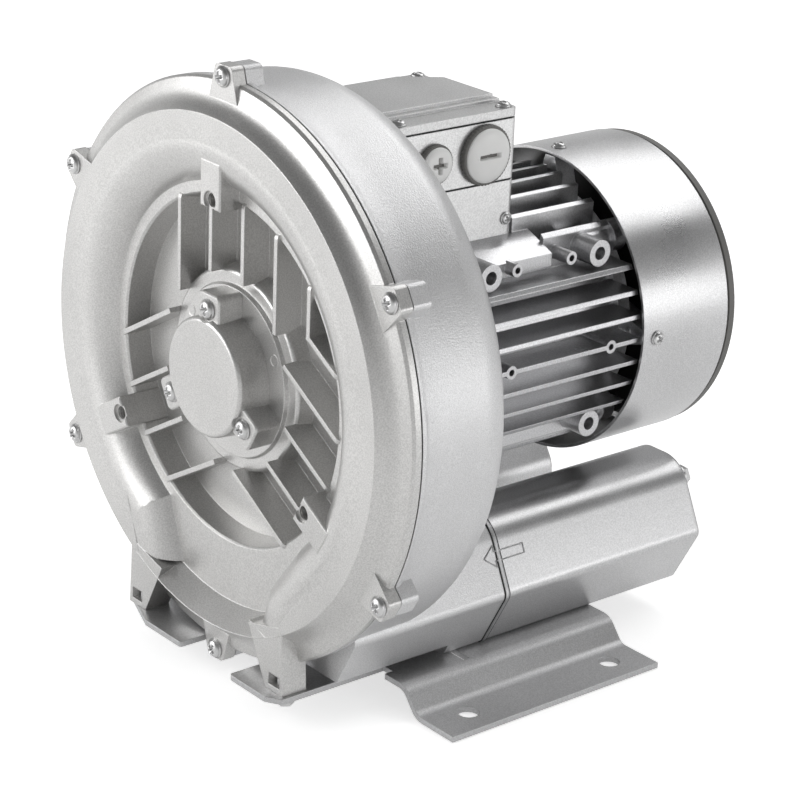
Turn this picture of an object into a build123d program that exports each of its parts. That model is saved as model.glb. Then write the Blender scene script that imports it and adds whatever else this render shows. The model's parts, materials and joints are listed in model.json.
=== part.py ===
from build123d import *
import os
from math import cos, radians, sin, sqrt, tan

# Side channel blower, in millimetres. Each piece is drawn in a front view: x to the right, y up,
# z forward out of the joint plane of the cover, with the shaft axis along z. The finished pieces
# are then stood on their feet: +Z up, cover facing -Y, origin amid the four foot holes on the floor.

# Feet and overall stance
foot_spacing_x = 225.0
foot_spacing_y = 95.0
foot_hole_d = 11.0
foot_drop = 12.0
first_foot_hole = 65.0
sheet_t = 3.0
foot_outer_x = 128.0
foot_inner_x = 20.0
foot_front = -42.0
foot_length = 138.0
foot_bend_x = 91.0
foot_bend_angle = 50.0
foot_bend_r = 10.0
foot_thread_l = 10.0
strip_outer_x = 68.0
strip_front = 21.0
right_strip_inner_x = 31.0
right_strip_cut = (60.0, 16.0)
left_strip_inner_x = 11.0
left_strip_cut = (42.0, 11.0)
slot_width = 4.0
slot_length = 14.0

# Ribbed front cover
drum_r = 145.0
cover_flange_h = 3.2
crease_inset = 15.5
crease_h = 14.7
fall_l = 22.0
fall_knee_l = 7.0
fall_knee_h = 8.2
lip_inset = 2.0
lip_width = 6.5
lip_h = 2.5
recess_floor = -11.0
floor_t = 4.5
hub_disc_r = 51.0
hub_step_r = 43.0
hub_step_h = 2.2
rib_h = 4.0
rib_t = 2.6
rib_pitch = 26.0
corner_rib_offset = 65.0
corner_rib_angle = 30.0
stand_boss_inset = 5.5
stand_boss_w = 16.0
stand_boss_h = 14.0
stand_boss_l = 23.5
stand_thread_d = 6.8
stand_thread_depth = 16.0
stripper_rim_w = 9.5

# Side channel
channel_inset = 17.0
channel_w = 32.0
cover_channel_h = 10.2
casing_channel_depth = 19.0
cover_channel_start = 316.0
cover_channel_sweep = 276.0
casing_channel_start = 286.0
casing_channel_sweep = 328.0

# Casing
gasket_t = 0.8
drum_depth = 61.0
drum_edge_w = 13.5
drum_edge_depth = 21.0
drum_step = 1.6
casing_wall = 7.5
motor_recess_gap = 4.0
duct_end = 104.5
duct_start = 8.0
duct_inner_x = 22.7
duct_crown_inner_x = 46.0
duct_crown_outer_x = 76.0
duct_waist_x = 93.5
duct_foot_x = 76.0
duct_h = 69.0
duct_shoulder_h = 33.0
duct_waist_h = 32.5
duct_relief = 7.0
duct_pad_l = 26.0
port_x = 57.0
port_h = 37.0
port_thread_r = 19.5
port_passage_r = 18.5

# Lugs round the joint
lug_count = 6
lug_screw_reach = 2.5
lug_edge = 5.5
lug_root = 9.0
lug_h = 7.0
casing_lug_depth = 11.0
lug_inner_w = 22.0
lug_outer_w = 12.5
foot_lug_x = 59.0
foot_lug_outer_x = 66.0
foot_lug_h = 14.5
nut_floor_t = 3.0
nut_pocket_h = 6.0
foot_bolt_z = 7.5
rear_foot_bolt_z = -88.0

# Hub cap
hub_cap_r = 30.0
hub_cap_h = 16.8
hub_cap_wall = 3.8
hub_ear_h = 14.0
hub_screw_r = 34.5
hub_ear_w = 17.0
hub_ear_outer_r = 42.5
hub_thread_l = 10.0

# Bearings, both alike
bearing_bore_r = 10.0
bearing_outer_r = 23.5
bearing_w = 14.0
ball_r = 3.9
ball_pitch_r = 16.75
ball_count = 8
race_gap = 0.07
inner_land_r = 14.0
outer_land_r = 19.5
cage_inner_r = 15.6
cage_outer_r = 17.9
cage_w = 9.0
bearing_sink = 1.0

# Rotor
side_gap = 0.5
tip_gap = 1.0
impeller_w = 21.0
impeller_hub_r = 22.0
impeller_bore_r = 12.0
impeller_rim_w = 43.0
impeller_web_t = 7.0
bucket_depth = 9.3
blade_count = 40
blade_angle = 1.5
collar_r = 14.0
core_seat_r = 13.0
fan_seat_r = 8.5
key_w = 6.0
key_l = 18.0
rotor_r = 30.5
air_gap = 0.5
core_front = -92.0
core_l = 70.0
winding_l = 16.0
winding_gap = 3.0
fan_r = 75.0
fan_hub_r = 16.0
fan_front = -228.0
fan_w = 20.0
fan_blades = 9
fan_plate_t = 2.5

# Motor
stator_r = 53.0
motor_wall = 6.0
fin_tip_r = 78.0
fin_top_r = 73.5
fin_t = 2.4
fin_pitch = 12.2
motor_flange_r = 88.0
motor_flange_t = 8.0
fins_front = -61.0
motor_end = -200.0
shoulder_x = 57.0
shoulder_y = 48.5
shoulder_end = -155.0
large_boss_y = 46.0
large_boss_x = 65.0
large_boss_r = 7.0
large_boss_thread_r = 3.4
large_boss_z = (-108.0, -180.5)
small_boss_r = 3.5
small_boss_thread_r = 1.65
column_r = 66.0
column_l = 22.0
motor_bolt_r = 80.0

# End shield, cowl and grille
shield_t = 8.0
shield_hub_r = 30.0
shield_thread_l = 12.0
rear_bearing_front = -206.0
shield_arm_w = 22.0
shield_arm_tip_w = 7.0
shield_arm_front = -203.0
cowl_r = 81.5
cowl_t = 1.5
cowl_front = -199.4
cowl_l = 62.4
cowl_lip = 5.0
cowl_screw_z = -209.0
cowl_screw_l = 12.0
grille_depth = 5.4
grille_bar = 3.0
grille_ring_pitch = 9.5
grille_rings = 6
grille_spokes = 8

# Terminal box
box_half_x = 38.5
box_front = -66.6
box_back = -144.1
pedestal_y = 56.0
box_floor_y = 84.1
box_top_y = 115.6
box_gasket_t = 0.9
box_wall = 3.5
box_floor_t = 2.0
pedestal_floor_t = 4.0
cable_window = (-14, 14, -112, -92)
box_corner_r = 4.0
lid_t = 4.2
lid_step_t = 1.6
lid_field_left = -30.8
lid_field_right = 25.0
lid_ridge_w = 4.1
lid_corner_x = 13.5
lid_corner_z = 20.0
lid_screw_inset = 5.5
column_wall = 2.0
terminal_block_half_x = 24.0
terminal_block_h = 12.0
terminal_block_z = (-130.0, -114.0)
terminal_pitch = 16.0
large_plug_z = -122.6
small_plug_z = -90.6
plug_y = 99.8
large_plug_r = 15.2
large_plug_shank_r = 12.3
small_plug_r = 10.0
small_plug_shank_r = 7.8

# Silencers
silencer_l = 135.0
silencer_wall = 4.0
silencer_end_t = 8.0
port_hub_wall = 5.5
port_thread_l = 22.0
foam_gap = 0.3
silencer_thread_l = 14.0
upper_bolt_x = 73.5
upper_bolt_rise = 21.0
lower_bolt_x = 34.0
lower_bolt_h = 11.0

# Fasteners and fits
m4_r = 2.0
m5_r = 2.5
m6_r = 3.0
pan_head_ratio = 1.85
pan_head_rise = 1.35
hex_flat_ratio = 1.65
clear = 0.3
thread_fit = 0.05
slip_fit = 0.02

joint_y = -foot_spacing_y / 2 - first_foot_hole
axis_height = drum_r + sheet_t + foot_drop
foot_seat_y = -drum_r
duct_top_y = foot_seat_y + duct_h
duct_shoulder_y = foot_seat_y + duct_shoulder_h
duct_waist_y = foot_seat_y + duct_waist_h
port_y = foot_seat_y + port_h
silencer_bolt_places = ((upper_bolt_x, port_y + upper_bolt_rise), (lower_bolt_x, foot_seat_y + lower_bolt_h))
front_view = Plane(origin=(0, joint_y, axis_height), x_dir=(1, 0, 0), z_dir=(0, -1, 0))
crease_r = drum_r - crease_inset
stripper_outer_r = crease_r - stripper_rim_w
channel_outer_r = drum_r - channel_inset
channel_inner_r = channel_outer_r - channel_w
lip_outer_r = channel_inner_r - lip_inset
lip_inner_r = lip_outer_r - lip_width
floor_r = lip_inner_r - lip_inset
stand_boss_r = lip_outer_r - stand_boss_inset
drum_rear_r = drum_r - drum_edge_w
drum_shoulder_r = drum_r - drum_step
motor_recess_r = motor_flange_r + motor_recess_gap
lug_screw_r = drum_r + lug_screw_reach
lug_outer_r = lug_screw_r + lug_edge
lug_inner_r = drum_r - lug_root
cover_back = recess_floor - floor_t
impeller_front = cover_back - side_gap
impeller_back = impeller_front - impeller_w
casing_land = impeller_back - side_gap
casing_rear_plate = casing_land - casing_wall
bearing_seat = -bearing_sink - bearing_w
impeller_r = channel_outer_r - tip_gap
impeller_rim_r = impeller_r - impeller_rim_w
bucket_inner_r = channel_inner_r + tip_gap
core_back = core_front - core_l
housing_r = stator_r + motor_wall
silencer_front = -duct_end - gasket_t
silencer_back = silencer_front - silencer_l
cowl_back = cowl_front - cowl_l
lid_seat_y = box_top_y + box_gasket_t
lid_top_y = lid_seat_y + lid_t
lid_screw_x = box_half_x - lid_screw_inset
fan_back = fan_front - fan_w
grille_r = cowl_r - 0.6
grille_back = cowl_back - grille_depth
group_angles = (90.0, 210.0, 330.0)
lug_angles = [30.0 + 360.0 / lug_count * i for i in range(lug_count)]
quarter_angles = (0.0, 90.0, 180.0, 270.0)
diagonal_angles = (45.0, 135.0, 225.0, 315.0)


def turned(*outline, sweep=360.0, start=0.0):
    """Solid of revolution about the shaft axis from (radius, forward) points."""
    face = make_face(Polyline(*outline, close=True))
    return Rot(Z=start) * revolve(Plane.XZ * face, Axis.Z, revolution_arc=sweep)


def tube(outer_r, inner_r, front, back):
    """Ring about the shaft axis between two depths."""
    return turned((inner_r, front), (outer_r, front), (outer_r, back), (inner_r, back))


def disc(radius, front, back):
    """Round plate about the shaft axis between two depths."""
    return Pos(0, 0, back) * extrude(Circle(radius), amount=front - back)


def rod(radius, start, end):
    """Round bar between two points."""
    direction = Vector(*end) - Vector(*start)
    return extrude(Plane(origin=start, z_dir=direction) * Circle(radius), amount=direction.length)


def block(x0, x1, y0, y1, z0, z1):
    """Box between two corners."""
    centre = ((x0 + x1) / 2, (y0 + y1) / 2, (z0 + z1) / 2)
    return Pos(*centre) * Box(abs(x1 - x0), abs(y1 - y0), abs(z1 - z0))


def polygon(*corners):
    """Flat outline whose corners are (x, y) or (x, y, fillet radius)."""
    face = make_face(Polyline(*[corner[:2] for corner in corners], close=True))
    for corner in corners:
        if len(corner) == 3:
            vertex = face.vertices().sort_by_distance(Vector(corner[0], corner[1], 0))[0]
            face = fillet(vertex, corner[2])
    return face


def ring_of(shape, angles):
    """Copies of a shape turned about the shaft axis."""
    return [Rot(Z=angle) * shape for angle in angles]


def group(shapes):
    """Separate solids kept in one node."""
    return Compound([solid for shape in shapes for solid in shape.solids()])


def mirrored(shape):
    """The same shape on the other side of the middle plane."""
    return mirror(shape, about=Plane.YZ)


def both_sides(shape):
    return [shape, mirrored(shape)]


def save(name, shape):
    export_step(front_view.location * shape, f"parts/{name}.step")


def pan_screw(thread_r, length):
    """Pan-head screw with a cross recess; the head stands on z = 0."""
    head_r = thread_r * pan_head_ratio
    head_h = thread_r * pan_head_rise
    shoulder = head_h * 0.45
    head = turned((0, 0), (head_r, 0), (head_r, shoulder), (head_r * 0.65, head_h), (0, head_h))
    cross = [Pos(0, 0, head_h) * Rot(Z=turn) * Box(head_r * 1.15, head_r * 0.22, head_h) for turn in (0, 90)]
    return head - cross + disc(thread_r, 0, -length)


def hex_bolt(thread_r, length):
    """Hexagon-head bolt; the head stands on z = 0."""
    head = extrude(RegularPolygon(thread_r * hex_flat_ratio, 6, major_radius=False), amount=thread_r * 1.3)
    return head + disc(thread_r, 0, -length)


def hex_nut(thread_r):
    """Hexagon nut standing on z = 0."""
    outline = RegularPolygon(thread_r * hex_flat_ratio, 6, major_radius=False, rotation=30)
    body = extrude(outline, amount=thread_r * 1.5)
    return body - disc(thread_r + thread_fit, thread_r * 1.5, 0)


def at_angle(radius, angle):
    """Point at a distance and angle from the shaft axis."""
    return radius * cos(radians(angle)), radius * sin(radians(angle))


def duct_section():
    """Outline shared by a port duct, its gasket and its silencer, on the right-hand side."""
    return polygon((duct_inner_x, duct_shoulder_y, 14), (duct_crown_inner_x, duct_top_y, 14),
                   (duct_crown_outer_x, duct_top_y, 20), (duct_waist_x, duct_waist_y, 6),
                   (duct_foot_x, foot_seat_y, 5), (duct_inner_x, foot_seat_y, 8))


def lug_outline(margin=0.0):
    """Wedge-shaped screw lug at the top of the joint circle."""
    inner = lug_inner_w / 2 - margin
    outer = lug_outer_w / 2 - margin
    tip = lug_outer_r - margin
    return polygon((-inner, lug_inner_r), (inner, lug_inner_r), (outer, tip, 3), (-outer, tip, 3))


def cover_shell():
    """Turned body of the cover: hub disc, recess, lip, channel bulge, crease and valley."""
    step = hub_step_h
    edge_r = hub_disc_r
    fall_r = lip_outer_r + fall_l
    outline = [
        Polyline((bearing_outer_r, 0), (hub_step_r, 0), (hub_step_r + 1, -step), (edge_r - step, -step)),
        ThreePointArc((edge_r - step, -step), (edge_r - 0.3 * step, -1.3 * step), (edge_r, -2 * step)),
        Polyline((edge_r, -2 * step), (edge_r + 1.5, recess_floor), (floor_r, recess_floor),
                 (lip_inner_r, lip_h - 1), (lip_inner_r + 1, lip_h), (lip_outer_r, lip_h)),
        ThreePointArc((lip_outer_r, lip_h), (lip_outer_r + fall_knee_l, lip_h + fall_knee_h),
                      (fall_r, crease_h - 0.5)),
        Polyline((fall_r, crease_h - 0.5), (crease_r, crease_h), (crease_r + 1.4, crease_h - 1.6)),
        ThreePointArc((crease_r + 1.4, crease_h - 1.6), (crease_r + 4.8, crease_h - 6.5),
                      (crease_r + 11, crease_h - 9.2)),
        Polyline((crease_r + 11, crease_h - 9.2), (drum_r - 1.2, cover_flange_h + 1.4),
                 (drum_r, cover_flange_h), (drum_r, 0), (channel_outer_r, 0), (channel_inner_r, 0),
                 (channel_inner_r, cover_back),
                 (bearing_outer_r - 3.5, cover_back), (bearing_outer_r - 3.5, bearing_seat),
                 (bearing_outer_r, bearing_seat), (bearing_outer_r, 0)),
    ]
    edges = [edge for line in outline for edge in line.edges()]
    return revolve(Plane.XZ * make_face(edges), Axis.Z)


def cover_channel():
    """Hollow behind the bulge, which stops on both sides of the stripper."""
    crown_r = (channel_inner_r + channel_outer_r) / 2 + 6
    edges = [
        *Polyline((channel_inner_r + 8, 5), (channel_inner_r, -5), (channel_inner_r, cover_back),
                  (channel_outer_r, cover_back), (channel_outer_r, 4.5)).edges(),
        ThreePointArc((channel_outer_r, 4.5), (crown_r, cover_channel_h), (channel_inner_r + 8, 5)),
    ]
    hollow = revolve(Plane.XZ * make_face(edges), Axis.Z, revolution_arc=cover_channel_sweep)
    return Rot(Z=cover_channel_start) * hollow


def fall_cut(start, end):
    """Cutter that leaves the bulge's convex fall on the left of the line from start to end."""
    along = (Vector(*end) - Vector(*start)).normalized()
    plane = Plane(origin=start, x_dir=(-along.Y, along.X, 0), z_dir=along)
    above = crease_h + 1
    fall = ThreePointArc((0, lip_h), (fall_knee_l, lip_h + fall_knee_h), (fall_l, crease_h - 0.5))
    sides = Polyline((fall_l, crease_h - 0.5), (fall_l, above), (0, above), (0, lip_h))
    return extrude(plane * make_face([fall, *sides.edges()]), amount=(Vector(*end) - Vector(*start)).length)


def stripper_cut():
    """Space in front of the flat sector where the bulge is interrupted."""
    inner = lip_inner_r - 1
    above = crease_h + 1
    ring = turned((inner, lip_h), (stripper_outer_r, lip_h), (crease_r, crease_h), (crease_r, above),
                  (inner, above))
    left_top = at_angle(lip_outer_r - 14, 225)
    left_end = at_angle(stripper_outer_r - 1, 253)
    right_end = at_angle(stripper_outer_r, 288)
    right_bend = at_angle(lip_outer_r + 11.5, 294)
    right_top = at_angle(lip_outer_r - 1, 328)
    outline = polygon(left_top, left_end, at_angle(crease_r, 242), at_angle(drum_r, 243),
                      at_angle(drum_r, 290), at_angle(crease_r, 291), right_end, right_bend, right_top,
                      at_angle(lip_outer_r - 30, 315), at_angle(lip_outer_r - 30, 237))
    sector = Pos(0, 0, lip_h) * extrude(outline, amount=above - lip_h)
    falls = [fall_cut(left_end, left_top), fall_cut(right_top, right_bend), fall_cut(right_bend, right_end)]
    return ring & (sector + falls)


def rib(across, start, end):
    """Straight rib standing on the recess floor, along x, with a rounded outer corner."""
    side = polygon((start, recess_floor - 1), (end, recess_floor - 1), (end, rib_h, 3), (start, rib_h))
    return Pos(0, across, 0) * extrude(Plane.XZ * side, amount=rib_t / 2, both=True)


def rib_group():
    """Four parallel ribs between the hub disc and the lip."""
    ribs = []
    for place in (-1.5, -0.5, 0.5, 1.5):
        across = place * rib_pitch
        start = sqrt((hub_disc_r - 1) ** 2 - across**2)
        end = sqrt((lip_outer_r - 4) ** 2 - across**2)
        ribs.append(rib(across, start, end))
    return ribs


def corner_ribs():
    """Two ribs that meet in a V between the upper and the right-hand group."""
    start = corner_rib_offset * tan(radians(corner_rib_angle)) - rib_t / 2
    end = sqrt((lip_outer_r - 3) ** 2 - corner_rib_offset**2)
    upper = Rot(Z=90) * rib(-corner_rib_offset, start, end)
    lower = Rot(Z=-30) * rib(corner_rib_offset, start, end)
    return [upper, lower]


def stand_boss():
    """Raised block with the thread for standing the machine on its cover, along x."""
    start = stand_boss_r - stand_boss_w / 4
    half = stand_boss_w / 2
    body = block(start, start + stand_boss_l, -half, half, recess_floor - 1, stand_boss_h)
    return chamfer(body.faces().sort_by(Axis.Z)[-1].edges(), 0.8)


def stand_thread():
    """Blind thread of a stand boss and its small counterbore."""
    hole = disc(stand_thread_d / 2, stand_boss_h, stand_boss_h - stand_thread_depth)
    mouth = disc(stand_thread_d / 2 + 1.4, stand_boss_h, stand_boss_h - 1.6)
    return Pos(stand_boss_r, 0, 0) * (hole + mouth)


def foot_lug():
    """Tapered lug at the lower right of the cover that stands on the foot strip."""
    root = foot_seat_y + foot_lug_h * 2
    outline = polygon((foot_lug_x - foot_lug_h * 1.5, root), (foot_lug_outer_x - 2, root + 7),
                      (foot_lug_outer_x, foot_seat_y), (foot_lug_x - foot_lug_h / 2, foot_seat_y))
    return extrude(outline, amount=foot_lug_h)


def foot_lug_cuts():
    """Nut pocket and bolt hole of the right-hand foot lug."""
    half = m5_r * hex_flat_ratio + clear
    low = foot_seat_y + nut_floor_t
    pocket = block(foot_lug_x - half, foot_lug_x + half, low, low + nut_pocket_h, foot_bolt_z - 5, foot_lug_h)
    top = foot_seat_y + foot_thread_l + 2
    hole = rod(m5_r + clear, (foot_lug_x, foot_seat_y, foot_bolt_z), (foot_lug_x, top, foot_bolt_z))
    return [pocket, hole]


def front_cover():
    lug = extrude(lug_outline(), amount=lug_h)
    ribs = [piece for angle in group_angles for piece in ring_of(Part() + rib_group(), [angle])]
    bosses = ring_of(stand_boss(), group_angles)
    body = cover_shell() - stripper_cut()
    body = body + ribs + corner_ribs() + bosses
    body = body + ring_of(lug, [angle - 90 for angle in lug_angles]) + both_sides(foot_lug())
    screw_hole = Pos(lug_screw_r, 0, 0) * disc(m5_r + clear, lug_h, 0)
    cap_hole = Pos(hub_screw_r, 0, 0) * disc(m5_r + thread_fit, 0, -hub_thread_l - 2)
    cuts = [cover_channel(), *ring_of(stand_thread(), group_angles), *ring_of(screw_hole, lug_angles)]
    cuts += ring_of(cap_hole, group_angles)
    for cut in foot_lug_cuts():
        cuts += both_sides(cut)
    return body - cuts


def cover_gasket():
    return tube(drum_r - 0.4, channel_outer_r + 2, 0, -gasket_t)


def hub_cap():
    """Cup over the front bearing with three ears."""
    cavity_r = hub_cap_r - hub_cap_wall - 1
    edge = 2.2
    ceiling = hub_cap_h - hub_cap_wall
    walls = Polyline((0, hub_cap_h), (0, ceiling), (cavity_r, ceiling), (cavity_r, 0), (hub_cap_r + 1.2, 0),
                     (hub_cap_r, hub_cap_h - edge))
    rounding = ThreePointArc((hub_cap_r, hub_cap_h - edge), (hub_cap_r - 0.3 * edge, hub_cap_h - 0.3 * edge),
                             (hub_cap_r - edge, hub_cap_h))
    top = Line((hub_cap_r - edge, hub_cap_h), (0, hub_cap_h))
    cup = revolve(Plane.XZ * make_face([*walls.edges(), rounding, top]), Axis.Z)
    half = hub_ear_w / 2
    ear_r = hub_ear_outer_r
    outline = polygon((cavity_r + 1, -half), (ear_r, -half, 3), (ear_r, half, 3), (cavity_r + 1, half))
    ear = extrude(outline, amount=hub_ear_h)
    ear = chamfer(ear.faces().sort_by(Axis.Z)[-1].edges(), 0.8)
    pocket = Pos(hub_screw_r, 0, 0) * disc(m5_r * 1.85 + 1.6, hub_cap_h + 1, hub_ear_h)
    hole = Pos(hub_screw_r, 0, 0) * disc(m5_r + clear, hub_ear_h, 0)
    return cup + ring_of(ear, group_angles) - ring_of(pocket, group_angles) - ring_of(hole, group_angles)


def rear_casing():
    """Drum with the rear half of the channel and the two port ducts."""
    start = drum_edge_depth - drum_depth
    outline = [
        *Polyline((0, casing_rear_plate), (motor_recess_r - 2, casing_rear_plate),
                  (motor_recess_r, -drum_depth), (drum_rear_r - 2, -drum_depth),
                  (drum_rear_r, -drum_depth + 1)).edges(),
        ThreePointArc((drum_rear_r, -drum_depth + 1),
                      (drum_r - drum_edge_w * 0.39, start - drum_edge_depth * 0.55),
                      (drum_shoulder_r - 0.6, start)),
        *Polyline((drum_shoulder_r - 0.6, start), (drum_shoulder_r, -6), (drum_r, -3), (drum_r, -gasket_t),
                  (0, -gasket_t), (0, casing_rear_plate)).edges(),
    ]
    drum = revolve(Plane.XZ * make_face(outline), Axis.Z)
    duct = Pos(0, 0, -duct_end) * extrude(duct_section(), amount=duct_end - duct_start)
    duct -= disc(motor_recess_r, -drum_depth + 1, casing_rear_plate)
    duct -= block(0, duct_waist_x, foot_seat_y, foot_seat_y + duct_relief, 0, duct_pad_l - duct_end)
    lug = Pos(0, 0, -casing_lug_depth) * extrude(lug_outline(0.4), amount=casing_lug_depth - gasket_t)
    body = drum + both_sides(duct) + ring_of(lug, [angle - 90 for angle in lug_angles])
    middle_r = (channel_inner_r + channel_outer_r) / 2
    channel_edges = [
        *Polyline((channel_inner_r, casing_land - 6), (channel_inner_r, casing_land + 1),
                  (channel_outer_r, casing_land + 1), (channel_outer_r, casing_land - 6)).edges(),
        ThreePointArc((channel_outer_r, casing_land - 6), (middle_r, casing_land - casing_channel_depth),
                      (channel_inner_r, casing_land - 6)),
    ]
    channel = revolve(Plane.XZ * make_face(channel_edges), Axis.Z, revolution_arc=casing_channel_sweep)
    passage = Pos(port_x, port_y, 0) * disc(port_passage_r, casing_land - 5, -duct_end)
    screw_hole = Pos(lug_screw_r, 0, 0) * disc(m5_r + thread_fit, 0, -casing_lug_depth)
    motor_hole = Pos(motor_bolt_r, 0, 0) * disc(m6_r + thread_fit, casing_land - 0.5, casing_rear_plate)
    top = foot_seat_y + foot_thread_l + 2
    foot_hole = rod(m6_r + thread_fit, (port_x, foot_seat_y, rear_foot_bolt_z),
                    (port_x, top, rear_foot_bolt_z))
    cuts = [disc(channel_outer_r, -gasket_t, casing_land), Rot(Z=casing_channel_start) * channel,
            disc(collar_r + 5, casing_land, casing_rear_plate)]
    cuts += both_sides(passage) + both_sides(foot_hole) + ring_of(screw_hole, lug_angles)
    cuts += ring_of(motor_hole, diagonal_angles)
    for x, y in silencer_bolt_places:
        bolt_hole = Pos(x, y, 0) * disc(m6_r + thread_fit, -duct_end + silencer_thread_l + 2, -duct_end)
        cuts += both_sides(bolt_hole)
    return body - cuts


def shaft_seal():
    """Lip seal in the casing's rear wall, running on the shaft collar."""
    return tube(collar_r + 5 - slip_fit, collar_r + thread_fit, casing_land - 0.3, casing_rear_plate)


def impeller():
    """Disc with open buckets on both sides of its rim, parted by radial blades."""
    middle = (impeller_front + impeller_back) / 2
    half_web = impeller_web_t / 2
    bore_r = impeller_bore_r + slip_fit
    sleeve_r = impeller_hub_r - 6
    body = turned((bore_r, bearing_seat), (sleeve_r, bearing_seat), (sleeve_r, impeller_front),
                  (impeller_hub_r, impeller_front), (impeller_hub_r + 2, middle + half_web),
                  (impeller_rim_r, middle + half_web), (impeller_rim_r + 2, impeller_front),
                  (impeller_r, impeller_front), (impeller_r, impeller_back),
                  (impeller_rim_r + 2, impeller_back), (impeller_rim_r, middle - half_web),
                  (impeller_hub_r + 2, middle - half_web),
                  (impeller_hub_r, impeller_back), (bore_r, impeller_back))
    reach = impeller_r + 1
    deep = impeller_front - bucket_depth
    floor_arc = ThreePointArc((bucket_inner_r, impeller_front), (bucket_inner_r + 9, deep + 2.2),
                              (reach, deep))
    sides = Polyline((reach, deep), (reach, impeller_front + 1), (bucket_inner_r, impeller_front + 1),
                     (bucket_inner_r, impeller_front))
    pitch = 360.0 / blade_count
    section = make_face([floor_arc, *sides.edges()])
    bucket = revolve(Plane.XZ * section, Axis.Z, revolution_arc=pitch - blade_angle)
    front = ring_of(bucket, [pitch * i for i in range(blade_count)])
    rear = [mirror(cutter, about=Plane.XY.offset(middle)) for cutter in front]
    half_key = key_w / 2 + slip_fit
    keyway = block(0, impeller_bore_r + 2.8, -half_key, half_key, impeller_back, bearing_seat)
    return body - front - rear - keyway


def impeller_key():
    key_back = impeller_back + 2
    low = impeller_bore_r - 3.5
    return block(low, impeller_bore_r + 2.5, -key_w / 2, key_w / 2, key_back, key_back + key_l)


def shaft():
    """Stepped shaft through cover bearing, impeller, rotor core, rear bearing and fan."""
    rear_seat_end = rear_bearing_front - bearing_w
    body = turned((0, -bearing_sink), (bearing_bore_r, -bearing_sink), (bearing_bore_r, bearing_seat),
                  (impeller_bore_r, bearing_seat), (impeller_bore_r, impeller_back), (collar_r, impeller_back),
                  (collar_r, core_front + 5), (core_seat_r, core_front + 5), (core_seat_r, core_back - 5),
                  (impeller_bore_r, core_back - 5), (impeller_bore_r, rear_bearing_front),
                  (bearing_bore_r, rear_bearing_front), (bearing_bore_r, rear_seat_end),
                  (fan_seat_r, rear_seat_end), (fan_seat_r, fan_back - 4), (0, fan_back - 4))
    key_seat = block(impeller_bore_r - 3.5, impeller_bore_r + 1, -key_w / 2, key_w / 2, impeller_back + 2,
                     impeller_back + 2 + key_l)
    end_thread = disc(m6_r + thread_fit, -bearing_sink, -bearing_sink - 18)
    return body - key_seat - end_thread


def bearing(front):
    """Outer ring, inner ring, balls and cage of one ball bearing."""
    middle = front - bearing_w / 2
    groove = Pos(0, 0, middle) * Torus(ball_pitch_r, ball_r + race_gap)
    outer = tube(bearing_outer_r - slip_fit, outer_land_r, front, front - bearing_w) - groove
    inner = tube(inner_land_r, bearing_bore_r + slip_fit, front, front - bearing_w) - groove
    angles = [360.0 / ball_count * i for i in range(ball_count)]
    balls = ring_of(Pos(ball_pitch_r, 0, middle) * Sphere(ball_r), angles)
    pocket = rod(ball_r + 0.25, (cage_inner_r - 2, 0, middle), (cage_outer_r + 2, 0, middle))
    cage = tube(cage_outer_r, cage_inner_r, middle + cage_w / 2, middle - cage_w / 2) - ring_of(pocket, angles)
    return outer, inner, group(balls), cage


def end_washer():
    return tube(bearing_bore_r + 3, m6_r + clear, -bearing_sink + 2.5, -bearing_sink)


def end_bolt():
    return Pos(0, 0, -bearing_sink + 2.5) * hex_bolt(m6_r, 16)


def rotor_core():
    """Laminated core with its two cast end rings."""
    core = tube(rotor_r, core_seat_r + slip_fit, core_front, core_back)
    rings = [tube(rotor_r - 2, core_seat_r + 9, front + 8, front) for front in (core_front, core_back - 8)]
    return core + rings


def stator_core():
    return tube(stator_r - slip_fit, rotor_r + air_gap, core_front, core_back)


def stator_windings():
    """Winding heads on both ends of the core."""
    inner = rotor_r + winding_gap
    outer = stator_r - winding_gap
    edge = winding_gap
    heads = []
    for front in (core_front + winding_l, core_back):
        back = front - winding_l
        heads.append(turned((inner, back + edge), (inner + edge, back), (outer - edge, back),
                            (outer, back + edge), (outer, front - edge), (outer - edge, front),
                            (inner + edge, front), (inner, front - edge)))
    return group(heads)


def motor_section():
    """Cross-section of the finned tube: upright fins above and below, level fins at the sides."""
    reach = fin_tip_r * 2
    upright_fins = Sketch() + [Pos(fin_pitch * i, 0) * Rectangle(fin_t, reach) for i in range(-4, 5)]
    level_fins = Sketch() + [Pos(0, fin_pitch * i) * Rectangle(reach, fin_t) for i in range(-3, 4)]
    fins = (upright_fins & Circle(fin_top_r)) + (level_fins & Circle(fin_tip_r))
    return fins + Circle(housing_r) - Circle(stator_r)


def side_boss(radius, thread_r, x, y, z):
    """Round boss pointing to the right with a blind thread."""
    return (rod(radius, (stator_r - 8, y, z), (x, y, z)), rod(thread_r, (x - 12, y, z), (x, y, z)))


def cable_passage(low, high):
    """Opening for the motor leads between two heights."""
    left, right, back, front = cable_window
    return block(left, right, low, high, back, front)


def box_pad():
    """Solid seat of the terminal box on the motor tube, with sloping shoulders."""
    seat = block(-box_half_x, box_half_x, housing_r - 18, pedestal_y, box_back, box_front)
    slope = polygon((0, pedestal_y), (box_half_x, pedestal_y), (shoulder_x, shoulder_y),
                    (shoulder_x, shoulder_y - 7), (housing_r / 2, shoulder_y - 12), (0, shoulder_y - 12))
    shoulder = Pos(0, 0, shoulder_end) * extrude(slope, amount=box_front - shoulder_end)
    return seat + both_sides(shoulder) - disc(stator_r + 1, 0, motor_end)


def above_shoulder():
    """Space over the sloping shoulder, where the fins stop short."""
    outline = polygon((box_half_x, pedestal_y), (shoulder_x, shoulder_y), (shoulder_x, fin_tip_r),
                      (box_half_x, fin_tip_r))
    return Pos(0, 0, shoulder_end) * extrude(outline, amount=fins_front - shoulder_end)


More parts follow.
